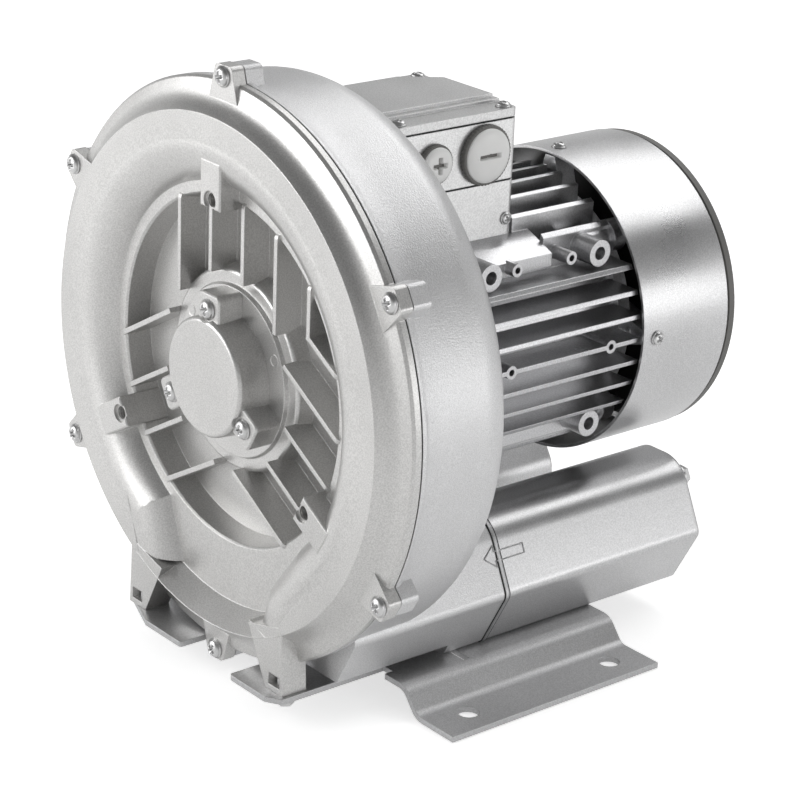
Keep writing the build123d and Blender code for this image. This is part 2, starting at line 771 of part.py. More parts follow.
def motor_housing():
    """Finned tube with front flange, box pad and threaded side bosses."""
    body = Pos(0, 0, motor_end) * extrude(motor_section(), amount=fins_front - motor_end)
    body += tube(housing_r, stator_r, fins_front, casing_rear_plate)
    body += tube(motor_flange_r, stator_r, casing_rear_plate, casing_rear_plate - motor_flange_t)
    body = body - both_sides(above_shoulder()) + box_pad()
    column = Pos(column_r, 0, 0) * disc(6.2, motor_end + column_l, motor_end)
    body += ring_of(column, diagonal_angles)
    places = [(large_boss_r, large_boss_thread_r, large_boss_x, sign * large_boss_y, z)
              for sign in (-1, 1) for z in large_boss_z]
    places += [(small_boss_r, small_boss_thread_r, 63.0, large_boss_y, z) for z in (-127.0, -163.0)]
    places += [(small_boss_r, small_boss_thread_r, fin_tip_r, 0.0, z) for z in (-113.0, -180.0)]
    holes = []
    for place in places:
        boss, hole = side_boss(*place)
        body += both_sides(boss)
        holes += both_sides(hole)
    flange_back = casing_rear_plate - motor_flange_t
    bolt_hole = Pos(motor_bolt_r, 0, 0) * disc(m6_r + clear, casing_rear_plate, flange_back)
    shield_hole = Pos(column_r, 0, 0) * disc(m5_r + thread_fit, motor_end + shield_thread_l + 2, motor_end)
    holes += ring_of(bolt_hole, diagonal_angles) + ring_of(shield_hole, diagonal_angles)
    bore = disc(stator_r, casing_rear_plate, motor_end)
    window = cable_passage(stator_r - 8, pedestal_y)
    side = box_half_x + clear
    box_place = block(-side, side, pedestal_y, fin_tip_r + 1, box_back - clear, box_front + clear)
    return body - holes - [bore, window, box_place]


def end_shield():
    """Rear bearing shield with four ears and four arms that carry the cowl."""
    seat_back = rear_bearing_front - bearing_w
    body = disc(housing_r + 3, motor_end, motor_end - shield_t)
    body += disc(shield_hub_r, motor_end, seat_back - 4)
    ear = Pos(column_r, 0, 0) * disc(8.5, motor_end, motor_end - shield_t)
    root = shield_arm_w / 2
    tip = shield_arm_tip_w / 2
    reach = cowl_r - cowl_t - clear
    arm_back = cowl_screw_z - 6
    plan = polygon((housing_r - 6, -root), (reach - 2, -tip), (reach - 2, tip), (housing_r - 6, root))
    plan -= Pos(housing_r + 9, 0) * Circle(2.6)
    arm = Pos(0, 0, arm_back) * extrude(plan, amount=shield_arm_front - arm_back)
    arm += rod(m4_r + 2, (housing_r + 4, 0, cowl_screw_z), (reach - 1, 0, cowl_screw_z))
    body += ring_of(ear, diagonal_angles) + ring_of(arm, quarter_angles)
    ear_hole = Pos(column_r, 0, 0) * disc(m5_r + clear, motor_end, motor_end - shield_t)
    hole_start = cowl_r - cowl_screw_l - 1
    screw_hole = rod(m4_r + thread_fit, (hole_start, 0, cowl_screw_z), (cowl_r, 0, cowl_screw_z))
    seat = disc(bearing_outer_r, motor_end, seat_back - 1.5)
    shaft_hole = disc(bearing_bore_r + 3, motor_end, seat_back - 4)
    holes = ring_of(ear_hole, diagonal_angles) + ring_of(screw_hole, quarter_angles)
    return body - holes - [seat, shaft_hole]


def wave_spring():
    back = rear_bearing_front - bearing_w
    return tube(bearing_outer_r - 0.5, outer_land_r, back, back - 1.5)


def cooling_fan():
    """Radial fan with straight blades behind the rear bearing."""
    plate = tube(fan_r - 6, fan_seat_r + slip_fit, fan_front, fan_front - fan_plate_t)
    hub = tube(fan_hub_r, fan_seat_r + slip_fit, fan_front, fan_back)
    side = polygon((fan_hub_r - 2, fan_front), (fan_r - 6, fan_front), (fan_r, fan_back + 5),
                   (fan_r, fan_back, 4), (fan_hub_r + 10, fan_back, 4), (fan_hub_r - 2, fan_back + 7))
    blade = extrude(Plane.XZ * side, amount=1, both=True)
    bore = disc(fan_seat_r + slip_fit, fan_front + 1, fan_back - 1)
    return plate + hub + ring_of(blade, [360.0 / fan_blades * i for i in range(fan_blades)]) - bore


def fan_circlip():
    ring = tube(fan_seat_r + 3, fan_seat_r + slip_fit, fan_back, fan_back - 1.2)
    return ring - block(0, fan_seat_r + 4, -2, 2, fan_back, fan_back - 1.2)


def fan_cowl():
    """Thin drawn hood round the fan, with a turned-in rear lip."""
    inner = cowl_r - cowl_t
    lip_r = cowl_r - cowl_lip
    hood = turned((inner, cowl_front), (cowl_r, cowl_front), (cowl_r, cowl_back + 2), (cowl_r - 2, cowl_back),
                  (lip_r, cowl_back), (lip_r, cowl_back + cowl_t), (inner, cowl_back + cowl_t + 1))
    hole = rod(m4_r + clear, (inner - 2, 0, cowl_screw_z), (cowl_r + 2, 0, cowl_screw_z))
    return hood - ring_of(hole, quarter_angles)


def fan_grille():
    """Round guard with concentric bars in the rear opening of the cowl."""
    opening = cowl_r - cowl_lip
    back = grille_back
    spigot_r = opening - slip_fit
    rim = turned((opening - 5, cowl_back + 3), (spigot_r, cowl_back + 3), (spigot_r, cowl_back),
                 (grille_r, cowl_back), (grille_r, back + 1.6), (grille_r - 1.6, back), (opening - 7, back))
    rings = []
    for i in range(grille_rings):
        outer = opening - 5 - grille_ring_pitch * (i + 1) + grille_bar
        rings.append(tube(outer, outer - grille_bar, back + grille_bar, back))
    spoke = block(0, opening - 4, -grille_bar / 2, grille_bar / 2, back, back + grille_bar)
    spokes = ring_of(spoke, [360.0 / grille_spokes * i for i in range(grille_spokes)])
    return rim + rings + spokes + disc(9, back + grille_bar, back)


def box_outline(half_x, margin=0.0):
    """Plan outline of the terminal box, drawn with depth along y."""
    depth = box_front - box_back - 2 * margin
    middle = (box_front + box_back) / 2
    return Pos(0, middle) * RectangleRounded(2 * (half_x - margin), depth, box_corner_r)


def upright(sketch, low, high):
    """Solid that stands on the plan outline between two heights."""
    plan = Plane(origin=(0, low, 0), x_dir=(1, 0, 0), z_dir=(0, -1, 0))
    return extrude(plan * sketch, amount=low - high)


def box_shell(low, high, floor_t):
    shell = upright(box_outline(box_half_x), low, high)
    return shell - upright(box_outline(box_half_x, box_wall), low + floor_t, high)


def corner_columns(low, high):
    """Screw columns in the four corners of the terminal box."""
    columns = []
    for x in (-lid_screw_x, lid_screw_x):
        for z in (box_front - lid_screw_inset, box_back + lid_screw_inset):
            columns.append(rod(column_wall + m4_r, (x, low, z), (x, high, z)))
    return columns


def corner_holes(radius, low, high):
    holes = []
    for x in (-lid_screw_x, lid_screw_x):
        for z in (box_front - lid_screw_inset, box_back + lid_screw_inset):
            holes.append(rod(radius, (x, low, z), (x, high, z)))
    return holes


def terminal_pedestal():
    """Plain lower part of the terminal box on the motor's pad."""
    body = box_shell(pedestal_y, box_floor_y, pedestal_floor_t) + corner_columns(pedestal_y, box_floor_y)
    window = cable_passage(pedestal_y, pedestal_y + pedestal_floor_t)
    return body - window - corner_holes(m4_r + thread_fit, box_floor_y - 12, box_floor_y)


def terminal_base_gasket():
    low = box_floor_y
    high = box_floor_y + box_gasket_t
    sheet = upright(box_outline(box_half_x, 0.4), low, high)
    return sheet - upright(box_outline(box_half_x, box_wall), low, high)


def terminal_box():
    """Upper part of the terminal box with the two cable entries on its right side."""
    low = box_floor_y + box_gasket_t
    body = box_shell(low, box_top_y, box_floor_t) + corner_columns(low, box_top_y)
    window = cable_passage(low, low + box_floor_t)
    entries = [rod(radius + thread_fit, (box_half_x - box_wall - 4, plug_y, z), (box_half_x, plug_y, z))
               for radius, z in ((large_plug_shank_r, large_plug_z), (small_plug_shank_r, small_plug_z))]
    return body - window - entries - corner_holes(m4_r + thread_fit, box_top_y - 14, box_top_y)


def terminal_lid_gasket():
    rim = upright(box_outline(box_half_x, 0.4), box_top_y, lid_seat_y)
    rim -= upright(box_outline(box_half_x, box_wall), box_top_y, lid_seat_y)
    return rim - corner_holes(column_wall + m4_r + 0.1, box_top_y, lid_seat_y)


def lid_field(right, inset):
    """Plan of the raised field, with corners cut away round the left-hand screws."""
    left = lid_field_left + inset
    back = box_back + 1 + inset
    front = box_front - 1 - inset
    cut_x = left + lid_corner_x
    return polygon((cut_x, back), (right, back), (right, front), (cut_x, front), (left, front - lid_corner_z),
                   (left, back + lid_corner_z))


def terminal_lid():
    """Lid with a raised field in two steps and four corner screws."""
    plate = upright(box_outline(box_half_x), lid_seat_y, lid_top_y)
    field = upright(lid_field(lid_field_right, 0), lid_top_y, lid_top_y + lid_step_t)
    upper = upright(lid_field(lid_field_right - lid_ridge_w, 1), lid_top_y, lid_top_y + 2 * lid_step_t)
    return plate + field + upper - corner_holes(m4_r + clear, lid_seat_y, lid_top_y)


def lid_screws():
    screw = Rot(X=-90) * pan_screw(m4_r, 16)
    return group(Pos(x, lid_top_y, z) * screw for x in (-lid_screw_x, lid_screw_x)
                 for z in (box_front - lid_screw_inset, box_back + lid_screw_inset))


def blanking_plug(head_r, shank_r, z, slot_turns):
    """Round-headed plug with one or two slots, screwed into the side of the box."""
    head_h = 5.0
    crown = ThreePointArc((head_r, 2.6), (head_r * 0.82, head_h - 0.5), (0, head_h))
    sides = Polyline((0, head_h), (0, 0), (head_r, 0), (head_r, 2.6))
    head = revolve(Plane.XZ * make_face([crown, *sides.edges()]), Axis.Z)
    slots = [Pos(0, 0, head_h) * Rot(Z=turn) * Box(head_r * 0.85, 2.2, 2.4) for turn in slot_turns]
    plug = head - slots + disc(shank_r, 0, -box_wall - 3)
    return Pos(box_half_x, plug_y, z) * Rot(Y=90) * plug


def terminal_block():
    """Moulded block with six studs standing on the box floor."""
    low = box_floor_y + box_gasket_t + box_floor_t
    back, front = terminal_block_z
    return block(-terminal_block_half_x, terminal_block_half_x, low, low + terminal_block_h, back, front)


def terminal_studs():
    """Six connection studs in the top of the terminal block."""
    low = box_floor_y + box_gasket_t + box_floor_t + terminal_block_h
    back, front = terminal_block_z
    row_inset = (front - back) / 4
    studs = []
    for x in (-terminal_pitch, 0, terminal_pitch):
        for z in (back + row_inset, front - row_inset):
            collar = rod(m4_r + 1.4, (x, low, z), (x, low + 3, z))
            studs.append(collar + rod(m4_r, (x, low, z), (x, low + 9, z)))
    return group(studs)


def silencer():
    """Right-hand silencer body with closed rear end and threaded port."""
    section = duct_section()
    body = Pos(0, 0, silencer_back) * extrude(section, amount=silencer_l)
    inner = offset(section, -silencer_wall)
    hollow = Pos(0, 0, silencer_back + silencer_end_t) * extrude(inner, amount=silencer_l - silencer_end_t)
    port_front = silencer_back + port_thread_l
    hub = Pos(port_x, port_y, 0) * disc(port_thread_r + port_hub_wall, port_front, silencer_back)
    for x, y in silencer_bolt_places:
        hollow -= Pos(x, y, 0) * disc(m6_r + 3.2, silencer_front, silencer_back)
    body = body - (hollow - hub)
    bore = Pos(port_x, port_y, 0) * disc(port_thread_r, port_front, silencer_back)
    hole = disc(m6_r + clear, silencer_front, silencer_back)
    holes = [Pos(x, y, 0) * hole for x, y in silencer_bolt_places]
    return body - bore - holes


def silencer_gasket():
    sheet = Pos(0, 0, silencer_front) * extrude(offset(duct_section(), -0.3), amount=gasket_t)
    holes = [Pos(x, y, 0) * disc(m6_r + clear, -duct_end, silencer_front) for x, y in silencer_bolt_places]
    return sheet - Pos(port_x, port_y, 0) * disc(port_thread_r, -duct_end, silencer_front) - holes


def silencer_foam():
    """Absorbing liner round the air passage of the right-hand silencer."""
    length = silencer_l - port_thread_l - 4
    back = silencer_front - length
    body = Pos(0, 0, back) * extrude(offset(duct_section(), -silencer_wall - foam_gap), amount=length)
    body -= Pos(port_x, port_y, 0) * disc(port_thread_r, silencer_front, back)
    for x, y in silencer_bolt_places:
        body -= Pos(x, y, 0) * disc(m6_r + 3.5, silencer_front, back)
    return body


def silencer_bolts():
    """Long bolts from the rear end of each silencer into the duct flange."""
    bolts = []
    for x, y in silencer_bolt_places:
        bolt = Rot(X=180) * hex_bolt(m6_r, silencer_l + gasket_t + silencer_thread_l)
        bolt = Pos(x, y, silencer_back) * bolt
        bolts += both_sides(bolt)
    return group(bolts)


def foot(strip_inner_x, strip_cut):
    """Foot on the right: one sheet bent down to the floor flange, with a strip to the cover lug."""
    shift = sheet_t * tan(radians(foot_bend_angle / 2))
    lower_x = foot_bend_x + foot_drop / tan(radians(foot_bend_angle))
    high = foot_seat_y
    low = foot_seat_y - foot_drop
    outer = foot_bend_r
    inner = foot_bend_r - sheet_t
    section = polygon((foot_inner_x, high), (foot_bend_x, high, outer), (lower_x, low, inner),
                      (foot_outer_x, low), (foot_outer_x, low - sheet_t),
                      (lower_x - shift, low - sheet_t, outer), (foot_bend_x - shift, high - sheet_t, inner),
                      (foot_inner_x, high - sheet_t))
    body = Pos(0, 0, foot_front - foot_length) * extrude(section, amount=foot_length)
    cut_x, cut_z = strip_cut
    back = foot_front - 6
    plan = polygon((strip_inner_x, strip_front, 2), (cut_x, strip_front, 2), (strip_outer_x, cut_z, 2),
                   (strip_outer_x, back), (strip_inner_x, back))
    body += upright(plan, high - sheet_t, high)
    body -= block(strip_outer_x, strip_outer_x + 7, high - sheet_t, high, foot_front - 5, foot_front)
    holes = [rod(foot_hole_d / 2, (foot_spacing_x / 2, low - sheet_t, z), (foot_spacing_x / 2, low, z))
             for z in (-first_foot_hole, -first_foot_hole - foot_spacing_y)]
    for radius, x, z in ((m5_r, foot_lug_x, foot_bolt_z), (m6_r, port_x, rear_foot_bolt_z)):
        holes.append(rod(radius + clear, (x, high - sheet_t, z), (x, high, z)))
    slot = Pos(foot_bend_x - 12, high - sheet_t / 2, foot_front - 44)
    slot = slot * Box(slot_length, sheet_t + 1, slot_width)
    return body - holes - slot


def foot_bolts():
    """Bolts from below through both feet into cover lugs and port ducts."""
    low = foot_seat_y - sheet_t
    length = sheet_t + foot_thread_l
    front = Pos(foot_lug_x, low, foot_bolt_z) * Rot(X=90) * hex_bolt(m5_r, length)
    rear = Pos(port_x, low, rear_foot_bolt_z) * Rot(X=90) * hex_bolt(m6_r, length)
    return group(both_sides(front) + both_sides(rear))


def foot_nuts():
    """Nuts in the pockets of the two cover lugs."""
    nut = Pos(foot_lug_x, foot_seat_y + nut_floor_t, foot_bolt_z) * Rot(X=-90) * hex_nut(m5_r)
    return group(both_sides(nut))


def facing_front(screw, radius, angles, z):
    """Screws round the shaft axis with their heads to the front."""
    return group(ring_of(Pos(radius, 0, z) * screw, angles))


def facing_back(screw, radius, angles, z):
    """Screws round the shaft axis with their heads to the back."""
    return group(ring_of(Pos(radius, 0, z) * Rot(X=180) * screw, angles))


def cowl_screws():
    screw = Pos(cowl_r, 0, cowl_screw_z) * Rot(Y=90) * pan_screw(m4_r, cowl_screw_l)
    return group(ring_of(screw, quarter_angles))


def main():
    os.makedirs("parts", exist_ok=True)
    save("front_cover", front_cover())
    save("rear_casing", rear_casing())
    save("cover_gasket", cover_gasket())
    cover_screw = pan_screw(m5_r, lug_h + casing_lug_depth - 1)
    save("cover_screws", facing_front(cover_screw, lug_screw_r, lug_angles, lug_h))
    save("hub_cap", hub_cap())
    cap_screw = pan_screw(m5_r, hub_ear_h + hub_thread_l)
    save("hub_cap_screws", facing_front(cap_screw, hub_screw_r, group_angles, hub_ear_h))
    save("shaft_seal", shaft_seal())
    save("impeller", impeller())
    save("impeller_key", impeller_key())
    save("shaft", shaft())
    save("shaft_end_washer", end_washer())
    save("shaft_end_bolt", end_bolt())
    save("rotor_core", rotor_core())
    for place, front in (("front", -bearing_sink), ("rear", rear_bearing_front)):
        outer, inner, balls, cage = bearing(front)
        save(f"{place}_bearing_outer_ring", outer)
        save(f"{place}_bearing_inner_ring", inner)
        save(f"{place}_bearing_balls", balls)
        save(f"{place}_bearing_cage", cage)
    save("bearing_wave_spring", wave_spring())
    save("stator_core", stator_core())
    save("stator_windings", stator_windings())
    save("motor_housing", motor_housing())
    flange_back = casing_rear_plate - motor_flange_t
    motor_bolt = hex_bolt(m6_r, motor_flange_t + casing_wall - 0.5)
    save("motor_bolts", facing_back(motor_bolt, motor_bolt_r, diagonal_angles, flange_back))
    save("end_shield", end_shield())
    shield_screw = hex_bolt(m5_r, shield_t + shield_thread_l)
    save("end_shield_screws", facing_back(shield_screw, column_r, diagonal_angles, motor_end - shield_t))
    save("cooling_fan", cooling_fan())
    save("fan_circlip", fan_circlip())
    save("fan_cowl", fan_cowl())
    save("fan_grille", fan_grille())
    save("cowl_screws", cowl_screws())
    save("terminal_pedestal", terminal_pedestal())
    save("terminal_base_gasket", terminal_base_gasket())
    save("terminal_box", terminal_box())
    save("terminal_lid_gasket", terminal_lid_gasket())
    save("terminal_lid", terminal_lid())
    save("terminal_lid_screws", lid_screws())
    save("large_blanking_plug", blanking_plug(large_plug_r, large_plug_shank_r, large_plug_z, (0,)))
    save("small_blanking_plug", blanking_plug(small_plug_r, small_plug_shank_r, small_plug_z, (0, 90)))
    save("terminal_block", terminal_block())
    save("terminal_studs", terminal_studs())
    for name, piece in (("silencer", silencer()), ("silencer_gasket", silencer_gasket()),
                        ("silencer_foam", silencer_foam())):
        save(f"right_{name}", piece)
        save(f"left_{name}", mirrored(piece))
    save("right_foot", foot(right_strip_inner_x, right_strip_cut))
    save("left_foot", mirrored(foot(left_strip_inner_x, left_strip_cut)))
    save("silencer_bolts", silencer_bolts())
    save("foot_bolts", foot_bolts())
    save("foot_nuts", foot_nuts())


main()
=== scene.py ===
import json
from math import cos, pi, radians, sin

import bpy
from mathutils import Matrix, Vector
from mathutils.bvhtree import BVHTree


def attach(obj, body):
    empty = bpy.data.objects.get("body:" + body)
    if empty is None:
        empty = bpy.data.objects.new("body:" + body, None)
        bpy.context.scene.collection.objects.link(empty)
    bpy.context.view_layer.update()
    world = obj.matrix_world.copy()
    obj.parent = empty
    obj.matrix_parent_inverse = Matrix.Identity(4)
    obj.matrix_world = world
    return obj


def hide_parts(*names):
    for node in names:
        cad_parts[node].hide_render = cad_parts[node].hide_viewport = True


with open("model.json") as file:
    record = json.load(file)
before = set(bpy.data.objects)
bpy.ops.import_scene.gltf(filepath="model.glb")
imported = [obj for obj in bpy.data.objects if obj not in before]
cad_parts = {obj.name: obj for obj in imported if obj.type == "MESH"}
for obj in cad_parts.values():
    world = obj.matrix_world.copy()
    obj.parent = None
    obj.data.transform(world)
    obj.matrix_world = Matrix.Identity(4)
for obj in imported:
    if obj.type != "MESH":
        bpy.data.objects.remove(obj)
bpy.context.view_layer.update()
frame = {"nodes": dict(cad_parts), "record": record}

# One millimetre in metres
MM = 0.001

# Frame of the blower, in metres: the shaft runs along Y at this height, the cover joint lies at this Y
AXIS_Z = 0.160
JOINT_Y = -0.1125

# Directions that a seat can face
FRONT = (0, -1, 0)
BACK = (0, 1, 0)
RIGHT = (1, 0, 0)
UP = (0, 0, 1)
DOWN = (0, 0, -1)

# Camera: a long lens at the photograph's angle, with its slight roll, and lengths in metres
CAMERA_TURN = radians(49.98)
CAMERA_RISE = radians(21.25)
CAMERA_ROLL = radians(2.3)
CAMERA_DISTANCE = 1.3604
CAMERA_TARGET = Vector((0.0, -0.0048, 0.1216))
LENS_MM = 118.9
SENSOR_MM = 36.0

# Pale floor just below the feet, in metres, with its glow in the camera and in reflections
FLOOR_HALF_SIZE = 6.0
FLOOR_Z = -0.0005
FLOOR_GLOW = 0.55
MIRRORED_GLOW = 0.30

# Soft boxes: name, place, width and height in metres, and power in watts, and the point that they face
SOFT_BOXES = (
    ("right_box", (1.5, 0.6, 0.25), (1.8, 0.5), 4.5),
    ("top_box", (-0.15, 0.95, 1.35), (1.7, 0.7), 9.0),
    ("front_left_box", (-1.0, -1.5, 0.7), (1.5, 1.2), 18.0),
)
LIT_POINT = (0, 0, 0.14)

# Surround: its strength in diffuse light, and how it darkens upwards in reflections, as height and colour
DIFFUSE_STRENGTH = 0.5
HORIZON = (0.02, (1, 1, 1))
OVERHEAD = (0.55, (0.2, 0.2, 0.2))

# Range that holds nearly all values of a noise texture
NOISE_LOW = 0.3
NOISE_HIGH = 0.7

# Silver paints: colour, metallic share, roughness, depth of the grain in metres, and where they differ
# from the usual also grain scale and rounding of edges in metres
SILVER_PAINTS = {
    "cast_cover": ((0.66, 0.655, 0.645), 0.78, 0.34, 0.00008),
    "cast_casing": ((0.70, 0.70, 0.705), 0.88, 0.42, 0.0003, 1300.0),
    "silencer_casting": ((0.64, 0.64, 0.645), 0.9, 0.32, 0.00003, 900.0, 0.0026),
    "motor_casting": ((0.60, 0.60, 0.61), 0.95, 0.30, 0.00006, 800.0),
    "box_casting": ((0.74, 0.74, 0.74), 0.85, 0.36, 0.00006),
    "lid_casting": ((0.67, 0.67, 0.67), 0.85, 0.38, 0.00005),
    "cowl_paint": ((0.64, 0.64, 0.645), 0.92, 0.30, 0.00003),
    "foot_sheet": ((0.58, 0.58, 0.585), 0.85, 0.44, 0.00003),
}

# Plastics, rubber and foam: colour, roughness, and for the foam a deeper grain in metres
PLASTICS = {
    "grille_polymer": ((0.15, 0.147, 0.14), 0.5),
    "plug_polymer": ((0.85, 0.85, 0.84), 0.3),
    "black_polymer": ((0.02, 0.02, 0.02), 0.5),
    "cage_polyamide": ((0.5, 0.47, 0.38), 0.5),
    "seal_rubber": ((0.02, 0.02, 0.02), 0.7),
    "gasket_sheet": ((0.03, 0.03, 0.03), 0.8),
    "silencer_foam": ((0.08, 0.08, 0.085), 0.95, 0.0006),
}

# Bare metals: colour and roughness
BARE_METALS = {
    "impeller_aluminium": ((0.75, 0.75, 0.75), 0.35),
    "shaft_steel": ((0.5, 0.5, 0.5), 0.3),
    "bearing_steel": ((0.6, 0.6, 0.6), 0.15),
    "core_laminations": ((0.3, 0.3, 0.32), 0.5),
    "winding_enamel": ((0.55, 0.22, 0.08), 0.35),
    "terminal_brass": ((0.72, 0.55, 0.25), 0.25),
    "zinc_screws": ((0.62, 0.62, 0.62), 0.32),
}

# Rounded edges of the castings and sheets that show, in metres, and how the rounding finds them: vertices
# closer than the weld are one, faces flatter than the flat angle join, and sharper edges are rounded
EDGE_WIDTHS = {
    "front_cover": 0.0007,
    "hub_cap": 0.0006,
    "rear_casing": 0.0006,
    "motor_housing": 0.0004,
    "fan_cowl": 0.0003,
    "terminal_lid": 0.0005,
    "terminal_box": 0.0005,
    "terminal_pedestal": 0.0005,
    "right_silencer": 0.0012,
    "left_silencer": 0.0012,
    "right_foot": 0.0004,
    "left_foot": 0.0004,
    "end_shield": 0.0006,
    "fan_grille": 0.0006,
}
WELD_DISTANCE = 0.000002
FLAT_ANGLE = radians(0.05)
ROUNDED_ANGLE = radians(28.0)

# Circles of screws, threads and cowl about the shaft, as radius and distance before the cover joint,
# in millimetres
LUG_SCREW_R = 147.5
LUG_FACE = 7.0
CAP_SCREW_R = 34.5
CAP_EAR_FACE = 14.0
STAND_BOSS_R = 88.5
STAND_BOSS_FACE = 14.0
COWL_R = 81.5
COWL_SCREW_FORWARD = -209.0

# Cast marks on the hub disc, to the right of the shaft and up from it, in millimetres
HUB_DISC_FACE = 0.0
CAST_MARKS = ((-33.5, 21.5), (34.5, 16.0))

# Threaded bosses on the motor's sides, from the shaft and behind the cover joint, in millimetres
MOTOR_BOSS_X = 65.0
MOTOR_BOSS_UP = (-46.0, 46.0)
MOTOR_BOSS_BEHIND = (108.0, 180.5)

# Terminal box, in metres, with the plugs' radii in millimetres
BOX_SIDE_X = 0.0385
LID_TOP_Z = 0.2807
LID_SCREW_X = 0.033
LID_SCREW_Y = (-0.0404, 0.0261)
EARTH_PLACE = (BOX_SIDE_X, 0.0265, 0.2245)
PLUG_Z = 0.2598
PLUG_TURN = pi / 2
LARGE_PLUG_Y = 0.0101
LARGE_PLUG_R = 15.2
SMALL_PLUG_Y = -0.0219
SMALL_PLUG_R = 10.0

# Feet and silencers, in metres, with the bolts' thread radii in millimetres: a foot bolt has X, Y and
# its thread radius, a silencer bolt has X and Z
FOOT_BOLT_Z = 0.012
FOOT_BOLTS = ((0.059, -0.120, 2.5), (0.057, -0.0245, 3.0))
SILENCER_END_Y = 0.1278
SILENCER_BOLTS = ((0.0735, 0.073), (0.034, 0.026))
SILENCER_BOLT_R = 3.0
PORT_X = 0.057
PORT_Z = 0.052

# Screws with a pan head: head radius, thread radius and length, in millimetres
COVER_SCREW = (4.6, 2.5, 17)
CAP_SCREW = (4.6, 2.5, 24)
LID_SCREW = (3.6, 2.0, 15)
COWL_SCREW = (3.6, 2.0, 11)
EARTH_SCREW = (3.0, 1.5, 5)

# Shanks of the hexagon bolts, in millimetres
FOOT_BOLT_LENGTH = 12.5
SILENCER_BOLT_LENGTH = 149.0

# Threads in round holes: bore radius, pitch, and start and end below the mouth, in millimetres
PORT_THREAD = (19.5, 2.3, 1.0, 21.5)
STAND_THREAD = (3.4, 1.25, 1.7, 14.0)
MOTOR_THREAD = (3.4, 1.25, 0.4, 11.0)

# Flow arrow on the side of a duct: height, ends along Y, head, shaft and line, in millimetres, the slope
# of the duct's side there, and where the rays that find it start beside the blower, in metres
ARROW_Z = 66.5
ARROW_FRONT_Y = -17.0
ARROW_REAR_Y = 9.0
ARROW_HEAD = 7.0
ARROW_HEAD_HALF = 5.0
ARROW_SHAFT_HALF = 2.2
ARROW_LINE_R = 0.42
ARROW_LIFT = 0.05
ARROW_SIDE_SLOPE = 0.48
ARROW_RAY_START = 0.3

# Joint of duct and silencer: how far a band stands out and its half width, in millimetres
SHEET_BAND = (0.55, 1.8)
RIM_BAND = (0.80, 1.0)


def local(x, up, forward):
    """Point given as right, up from the shaft axis and forward of the cover joint, in millimetres."""
    return Vector((x * MM, JOINT_Y - forward * MM, AXIS_Z + up * MM))


def around_axis(radius, angle, forward):
    """Point on a circle about the shaft, at an angle in degrees from the right."""
    return local(radius * cos(radians(angle)), radius * sin(radians(angle)), forward)


def make_camera():
    """Camera with the photograph's viewing angle and framing."""
    level = cos(CAMERA_RISE)
    right = Vector((cos(CAMERA_TURN), sin(CAMERA_TURN), 0))
    ahead = Vector((-sin(CAMERA_TURN) * level, cos(CAMERA_TURN) * level, -sin(CAMERA_RISE)))
    up = right.cross(ahead)
    right_rolled = right * cos(CAMERA_ROLL) + up * sin(CAMERA_ROLL)
    up_rolled = up * cos(CAMERA_ROLL) - right * sin(CAMERA_ROLL)
    data = bpy.data.cameras.new("camera")
    data.lens = LENS_MM
    data.sensor_width = SENSOR_MM
    data.clip_start = 0.05
    data.clip_end = 50
    camera = bpy.data.objects.new("camera", data)
    bpy.context.collection.objects.link(camera)
    turn = Matrix((right_rolled, up_rolled, -ahead)).transposed()
    camera.matrix_world = Matrix.Translation(CAMERA_TARGET - ahead * CAMERA_DISTANCE) @ turn.to_4x4()
    bpy.context.scene.camera = camera


class Nodes:
    """Small helper that fills the node tree of a material or a world."""

    def __init__(self, owner):
        owner.use_nodes = True
        self.tree = owner.node_tree
        self.tree.nodes.clear()

    def add(self, kind, **settings):
        """New node, each setting being the value of an input or else a property."""
        node = self.tree.nodes.new(kind)
        for key, value in settings.items():
            if key in node.inputs:
                node.inputs[key].default_value = value
            else:
                setattr(node, key, value)
        return node

    def link(self, source, target):
        self.tree.links.new(source, target)

    def noise(self, scale, detail):
        position = self.add("ShaderNodeNewGeometry")
        texture = self.add("ShaderNodeTexNoise", Scale=scale, Detail=detail, Roughness=0.55)
        self.link(position.outputs["Position"], texture.inputs["Vector"])
        return texture.outputs["Fac"]

    def spread(self, noise, low, high):
        """Noise stretched to a range of values."""
        node = self.add("ShaderNodeMapRange")
        node.inputs["From Min"].default_value = NOISE_LOW
        node.inputs["From Max"].default_value = NOISE_HIGH
        node.inputs["To Min"].default_value = low
        node.inputs["To Max"].default_value = high
        self.link(noise, node.inputs["Value"])
        return node.outputs["Result"]

    def ramp(self, value, *stops):
        """Colour that runs between two stops, each a place and a colour."""
        node = self.add("ShaderNodeValToRGB")
        for element, (place, colour) in zip(node.color_ramp.elements, stops):
            element.position = place
            element.color = (*colour, 1)
        self.link(value, node.inputs["Fac"])
        return node.outputs["Color"]

    def clouded(self, noise, dark, light):
        """Colour that varies with a noise."""
        return self.ramp(noise, (NOISE_LOW, dark), (NOISE_HIGH, light))

    def math(self, operation, *values):
        node = self.add("ShaderNodeMath", operation=operation)
        for socket, value in zip(node.inputs, values):
            if isinstance(value, float):
                socket.default_value = value
            else:
                self.link(value, socket)
        return node.outputs["Value"]


